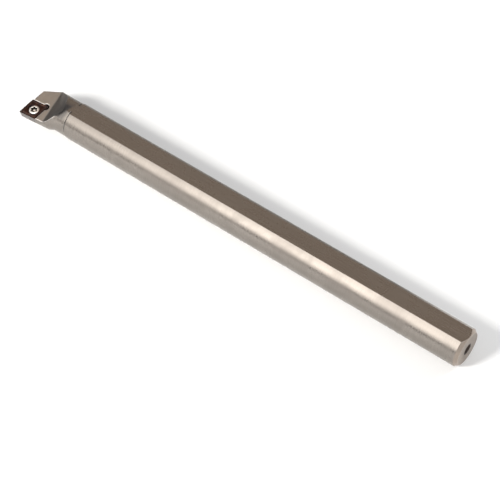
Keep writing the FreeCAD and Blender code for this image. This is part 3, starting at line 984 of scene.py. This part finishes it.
@dataclass
class Screw:
    """Countersunk screw with a domed head, a six-lobe recess and a cut thread.

    The recess's floor has four heights, from its dished middle out to the foot of its wall.
    The dome starts at a point on the head's flat top and bends at its shoulder.
    """

    head_radius: float = 2.6
    head_top: float = -0.233
    dome_start: float = 0.45
    dome_shoulder: Triple = (0.08, 0.3, 0.6)
    dome_fall: float = 0.19
    rim_height: float = 0.2
    rim_rounds: tuple[float, float] = (0.06, 0.03)
    cone_angle: float = 60.0
    core_round: float = 0.3
    core_run: float = 0.5
    thread_radius: float = 1.75
    thread_depth: float = 0.32
    thread_runs: tuple[float, float] = (0.5, 0.3)
    crest_sharpness: float = 1.3
    play: float = 0.02
    pitch: float = 0.6
    length: float = 8.3
    tip_chamfer: float = 0.4
    recess_mean: float = 1.58
    recess_swing: float = 0.25
    recess_depth: float = 0.9
    recess_edge: float = 0.06
    floor_heights: tuple[float, ...] = (-0.08, -0.03, 0.0, 0.02)
    floor_middle: float = 0.05
    floor_share: float = 0.72
    wall_rounds: tuple[float, ...] = (0.1, 0.05, 0.02, 0.05)
    break_depth: float = 0.10
    break_width: float = 0.12
    break_land: float = 0.35
    lobes: int = 6
    lobes_start: float = 0.6
    lobes_end: float = 2.1
    lobes_runs: tuple[float, float] = (0.5, 0.4)
    columns: int = 144
    thread_rings: int = 150

    def recess(self) -> tuple[np.ndarray, int]:
        """Rise from the recess's floor up its lobed wall and over its broken edge.

        The lobes fade in over the floor and fade out again over the head's top.

        Returns:
            The rings, and how many of them lie down in the recess.
        """
        top, mean = self.head_top, self.recess_mean
        middle, button, floor, foot = (
            top - self.recess_depth + height for height in self.floor_heights)
        of_floor, of_foot, of_wall, of_edge = self.wall_rounds
        path = rounded_path([
            (middle, self.floor_middle, 0), (button, self.lobes_start, 0),
            (floor, mean * self.floor_share, of_floor), (foot, mean, of_foot),
            (top - self.break_depth, mean, of_wall), (top, mean + self.break_width, of_edge),
            (top, mean + self.break_land, 0),
        ])
        height, radius = path.T
        rise, fall = self.lobes_runs
        fade_in = np.clip((radius - self.lobes_start) / rise, 0, 1)
        fade_out = np.clip((self.lobes_end - radius) / fall, 0, 1)
        rings = spin(path, self.columns, self.lobes, self.recess_swing * fade_in * fade_out)
        return rings, int((height < top - self.recess_edge).sum())

    def outside(self) -> np.ndarray:
        """Go from the recess's edge over the dome, the rim and the cone on to the thread's core.

        Returns:
            The rings.
        """
        top, rim, core = self.head_top, self.head_radius, self.thread_radius
        rim_top, seat_top = top - self.dome_fall, top - self.rim_height
        cone_end = seat_top - (rim - core) / math.tan(math.radians(self.cone_angle / 2))
        fall, inset, bend = self.dome_shoulder
        upper, lower = self.rim_rounds
        path = rounded_path([
            (top, self.recess_mean + self.dome_start, 0), (top - fall, rim - inset, bend),
            (rim_top, rim, upper), (seat_top, rim, lower), (cone_end, core, self.core_round),
            (cone_end - self.core_run, core, 0),
        ])
        return spin(path, self.columns)

    def thread(self, start: float) -> np.ndarray:
        """Cut the thread from below the head down to the tip.

        The radius falls by the thread depth times a wave of the height over the pitch plus the
        angle over a full turn, and fades in below the head and out at the tip.

        Args:
            start: Height at which the thread starts.

        Returns:
            The rings, with the tip's chamfer as the last two.
        """
        step, bevel = 0.05, 0.1
        end = self.head_top - self.length
        height = np.linspace(start - step, end + self.tip_chamfer, self.thread_rings)[:, None]
        angle = np.linspace(0, 2 * math.pi, self.columns, endpoint=False)[None]
        wave = 0.5 + 0.5 * np.cos(2 * math.pi * height / self.pitch + angle)
        run_in, run_out = self.thread_runs
        fade_in = np.clip((start - 2 * step - height) / run_in, 0, 1)
        fade_out = np.clip((height - end - self.tip_chamfer) / run_out, 0, 1)
        depth = self.thread_depth * wave ** self.crest_sharpness * (fade_in * fade_out)
        cut = raised(polar(self.thread_radius - self.play - depth, angle), height[..., None])
        tip_radius = self.thread_radius - self.tip_chamfer
        tip = np.array([(end + step, tip_radius), (end, tip_radius - bevel)])
        return np.concatenate([cut, spin(tip, self.columns)])

    def build(self, seat: Seat) -> Object:
        """Carry one profile from the recess's floor over the head and down the thread to the tip.

        Args:
            seat: Place on the bar.

        Returns:
            The screw, with the finishes 0 polished and 1 recess, painted dark as shade.
        """
        recess, sunk_rings = self.recess()
        outside = self.outside()
        thread = self.thread(float(outside[-1, 0, 2]))
        rings = seat.place(np.concatenate([recess, outside, thread])[::-1])
        finish = np.zeros(len(rings), int)
        finish[-sunk_rings:-2] = 1
        return skin("screw_six_lobe", rings, finish, poles=(True, True))

    def finishes(self) -> list[SteelFinish]:
        """Polished head and thread, and a recess painted dark as shade, with a bright middle."""
        return [
            SteelFinish("screw_polished", Lay.RINGS, colour=(0.88, 0.86, 0.83), roughness=0.22,
                        smudge_size=3.0, edge_width=0.06, mark_height=0.1),
            # Recess darkened: painted shade.
            SteelFinish("screw_recess_painted_shade", Lay.MILLED, colour=(0.05, 0.045, 0.04),
                        wear_and_highlight=(0.6, 0.57, 0.53), grime_and_shade=(0.015, 0.013, 0.012), roughness=0.24,
                        smudge_size=2.0, edge_width=0.08),
        ]


# ---- Studio ----


def aimed(place: Triple, aim: Triple, roll: float = 0.0) -> Matrix:
    """Look from one point to another with the width level, then roll about the line of sight.

    Args:
        place: Where it stands, in millimetres.
        aim: What it looks at, in millimetres.
        roll: Angle in radians.

    Returns:
        Its place in the scene. It looks against its own z axis.
    """
    forward = (Vector(aim) - Vector(place)).normalized()
    right = forward.cross(Vector((0, 0, 1))).normalized()
    upward = right.cross(forward)
    cosine, sine = math.cos(roll), math.sin(roll)
    across, up = right * cosine + upward * sine, upward * cosine - right * sine
    pose = Matrix((across, up, -forward)).transposed().to_4x4()
    pose.translation = Vector(place) * MM
    return pose


@dataclass(frozen=True)
class ViewPoint:
    """Camera: place and aim in millimetres, roll in radians, focal length in pixels."""

    position: Triple = (169.919, -421.473, 558.749)
    aim: Triple = (-109.840, -13.767, 0.0)
    roll: float = 0.0593
    focal: float = 1615.22
    clip: tuple[float, float] = (0.01, 50.0)

    def build(self) -> None:
        """Make the camera, aim it and roll it."""
        lens = bpy.data.cameras.new("picture_camera")
        lens.sensor_width = SENSOR_WIDTH
        lens.lens = self.focal / PICTURE_SIDE * SENSOR_WIDTH
        lens.clip_start, lens.clip_end = self.clip
        made = add_object("picture_camera", lens)
        made.matrix_world = aimed(self.position, self.aim, self.roll)
        bpy.context.scene.camera = made


def new_plane(name: str, x: float, y: float, level: float) -> tuple[Object, Wiring, Node]:
    """Make a level rectangle round the origin, in metres, with a material without a shader.

    Args:
        name: Name of the object, its mesh and its material.
        x: Half its width.
        y: Half its depth.
        level: Its height.

    Returns:
        Its object, its material's wiring and output node.
    """
    mesh = bpy.data.meshes.new(name)
    corners = [(-x, -y, level), (x, -y, level), (x, y, level), (-x, y, level)]
    mesh.from_pydata(corners, [], [(0, 1, 2, 3)])
    made = add_object(name, mesh)
    material = bpy.data.materials.new(name)
    material.use_nodes = True
    tree = material.node_tree
    tree.nodes.remove(tree.nodes["Principled BSDF"])
    mesh.materials.append(material)
    return made, Wiring(tree), tree.nodes["Material Output"]


@dataclass(frozen=True)
class Panel:
    """Flat studio panel: its middle, its width and height, its tone and level, and its grading."""

    name: str
    centre: Triple
    size: tuple[float, float]
    tone: Triple
    level: float = 1.0
    aim: Triple = (-127.0, 0.0, 0.0)
    across: Stops = ((0.0, 1.0), (1.0, 1.0))
    upward: Stops = ((0.0, 1.0), (1.0, 1.0))

    def stand(self, made: Object, hidden_from: tuple[str, ...]) -> None:
        """Turn the panel's face to the aim and hide it from some kinds of ray.

        Args:
            made: The panel's object.
            hidden_from: The kinds of ray.
        """
        made.matrix_world = aimed(self.centre, self.aim)
        for kind in hidden_from:
            setattr(made, "visible_" + kind, False)

    def lamp(self) -> None:
        """Make the panel a lamp of an even radiance that neither camera nor metal shows."""
        light = bpy.data.lights.new(self.name, "AREA")
        light.shape = "RECTANGLE"
        light.size, light.size_y = self.size[0] * MM, self.size[1] * MM
        light.color = self.tone
        light.energy = self.level * math.pi * light.size * light.size_y
        self.stand(add_object(self.name, light), ("camera", "glossy"))

    def card(self) -> None:
        """Make the panel a card that shows only in polished faces, graded across and upward."""
        width, height = self.size[0] * MM, self.size[1] * MM
        made, wires, result = new_plane(self.name, width / 2, height / 2, 0.0)
        parts = wires.node("SeparateXYZ", {0: wires.node("TexCoord").outputs["Object"]})
        grades = []
        for part, length, stops in zip(parts.outputs, (width, height), (self.across, self.upward)):
            share = wires.math("ADD", wires.math("DIVIDE", part, length), 0.5, clamp=True)
            grades.append(wires.ramp(share, stops))
        power = wires.multiply(wires.multiply(*grades), self.level)
        glow = wires.node("Emission", {"Color": (*self.tone, 1), "Strength": power})
        wires.fill(result, {0: glow.outputs[0]})
        self.stand(made, ("camera", "diffuse", "shadow", "transmission"))


@dataclass(frozen=True)
class Studio:
    """Pale floor, white surround, a key lamp, a fill lamp and the cards that the metal mirrors."""

    floor_height: float = -9.53
    floor_half: float = 6000.0
    floor_colour: float = 0.88
    floor_lift: float = 0.14
    floor_middle: float = -127.0
    floor_fade: tuple[float, float] = (300.0, 900.0)
    sky_level: float = 0.38
    lamps: tuple[Panel, ...] = (
        Panel("key_lamp", (-343.0, -700.0, 535.0), (200.0, 200.0), (1.0, 0.98, 0.95), 78.0),
        Panel("fill_lamp", (120.0, 300.0, 220.0), (150.0, 150.0), (1.0, 1.0, 1.0), 10.0,
              (0.0, 40.0, 0.0)),
    )
    cards: tuple[Panel, ...] = (
        Panel("bright_softbox", (-400.0, -670.0, 523.0), (1400.0, 1400.0), (1.0, 0.97, 0.935), 4.9,
              (-400.0, 0.0, 0.0),
              ((0.0, 0.37), (0.26, 0.38), (0.31, 0.42), (0.37, 0.66), (0.44, 1.0), (0.51, 0.98),
               (0.57, 0.92), (0.62, 0.68), (0.8, 0.6)),
              ((0.0, 0.18), (0.1, 0.24), (0.19, 0.35), (0.27, 0.54), (0.34, 0.78), (0.41, 0.95),
               (0.48, 1.0), (0.6, 0.9), (0.72, 0.8), (0.9, 0.85))),
        Panel("dark_card_above", (-470.0, 490.0, 675.0), (1500.0, 1100.0), (0.43, 0.365, 0.315),
              2.2, (-470.0, 0.0, 0.0),
              upward=((0.0, 0.39), (0.58, 0.39), (0.72, 0.75), (0.84, 0.95), (1.0, 1.0))),
        Panel("dark_card_left", (-1050.0, 420.0, 200.0), (900.0, 700.0), (0.09, 0.095, 0.11)),
        Panel("dark_card_low", (-709.0, 240.0, -8.5), (700.0, 902.0), (0.07, 0.075, 0.09), 1.0,
              (-699.0, 240.0, 1000.0)),
        Panel("dark_card_behind", (-100.0, 270.0, -9.0), (470.0, 900.0), (0.30, 0.28, 0.26), 1.0,
              (-90.0, 270.0, 1000.0)),
        Panel("dark_card_front", (-300.0, -800.0, 20.0), (2000.0, 170.0), (0.62, 0.58, 0.54), 1.0,
              across=((0.0, 1.0), (0.33, 1.0), (0.41, 0.6), (0.48, 0.12), (0.58, 0.1),
                      (1.0, 0.1))),
    )

    def direct_view(self, wires: Wiring) -> NodeSocket:
        """Work out 1 for rays that the camera, a mirror or glass sends, and 0 for the others.

        Args:
            wires: Wiring of the material or world.

        Returns:
            The number's socket.
        """
        path = wires.node("LightPath")
        seen = wires.math("MAXIMUM", path.outputs["Is Camera Ray"], path.outputs["Is Glossy Ray"])
        return wires.math("MAXIMUM", seen, path.outputs["Is Transmission Ray"])

    def floor(self) -> None:
        """Lay the pale floor; it goes over to plain white well away from the object."""
        half, level = self.floor_half * MM, self.floor_height * MM
        _, wires, result = new_plane("studio_floor", half, half, level)
        seen = self.direct_view(wires)
        paper = wires.node("BsdfDiffuse", {"Color": (*(self.floor_colour,) * 3, 1)})
        lift = wires.node("Emission", {
            "Color": WHITE, "Strength": wires.multiply(seen, self.floor_lift)})
        near = wires.node("AddShader", {0: paper.outputs[0], 1: lift.outputs[0]})
        far = wires.node("Emission", {"Color": WHITE, "Strength": 1.0})
        metres = wires.node("TexCoord").outputs["Object"]
        gap = wires.node("VectorMath", {0: metres, 1: (self.floor_middle * MM, 0.0, level)},
                         operation="DISTANCE").outputs["Value"]
        near_edge, far_edge = self.floor_fade
        share = wires.multiply(wires.span(gap, near_edge * MM, far_edge * MM), seen)
        whole = wires.node("MixShader", {0: share, 1: near.outputs[0], 2: far.outputs[0]})
        wires.fill(result, {0: whole.outputs[0]})

    def sky(self) -> None:
        """Surround the scene: white where it is seen, a plain grey level where it lights."""
        world = bpy.data.worlds.new("studio")
        world.use_nodes = True
        bpy.context.scene.world = world
        wires = Wiring(world.node_tree)
        extra = wires.multiply(self.direct_view(wires), 1.0 - self.sky_level)
        wires.fill(world.node_tree.nodes["Background"], {
            "Color": WHITE, "Strength": wires.math("ADD", extra, self.sky_level)})

    def build(self) -> None:
        """Lay the floor, set the sky, hang the lamps and stand the cards."""
        self.floor()
        self.sky()
        for lamp in self.lamps:
            lamp.lamp()
        for card in self.cards:
            card.card()


# ---- The whole scene ----


def main() -> None:
    """Build the studio and the object's pieces in order."""
    logging.basicConfig(level=logging.INFO, format="%(name)s: %(message)s")
    bpy.context.scene.view_settings.view_transform = "Standard"
    ViewPoint().build()
    Studio().build()
    effects = Effects(make_tool_marks(), make_handling(), make_edge_light_and_wear())

    bar, insert, screw, seat = Bar(), Insert(), Screw(), Seat()
    made = bar.build(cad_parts["bar_body"])
    dress(made, bar.finishes(), effects, "bar_body")
    dress(insert.build(seat), insert.finishes(), effects, "cutting_insert")
    dress(screw.build(seat), screw.finishes(), effects, "insert_screw")


if __name__ == "__main__":
    main()
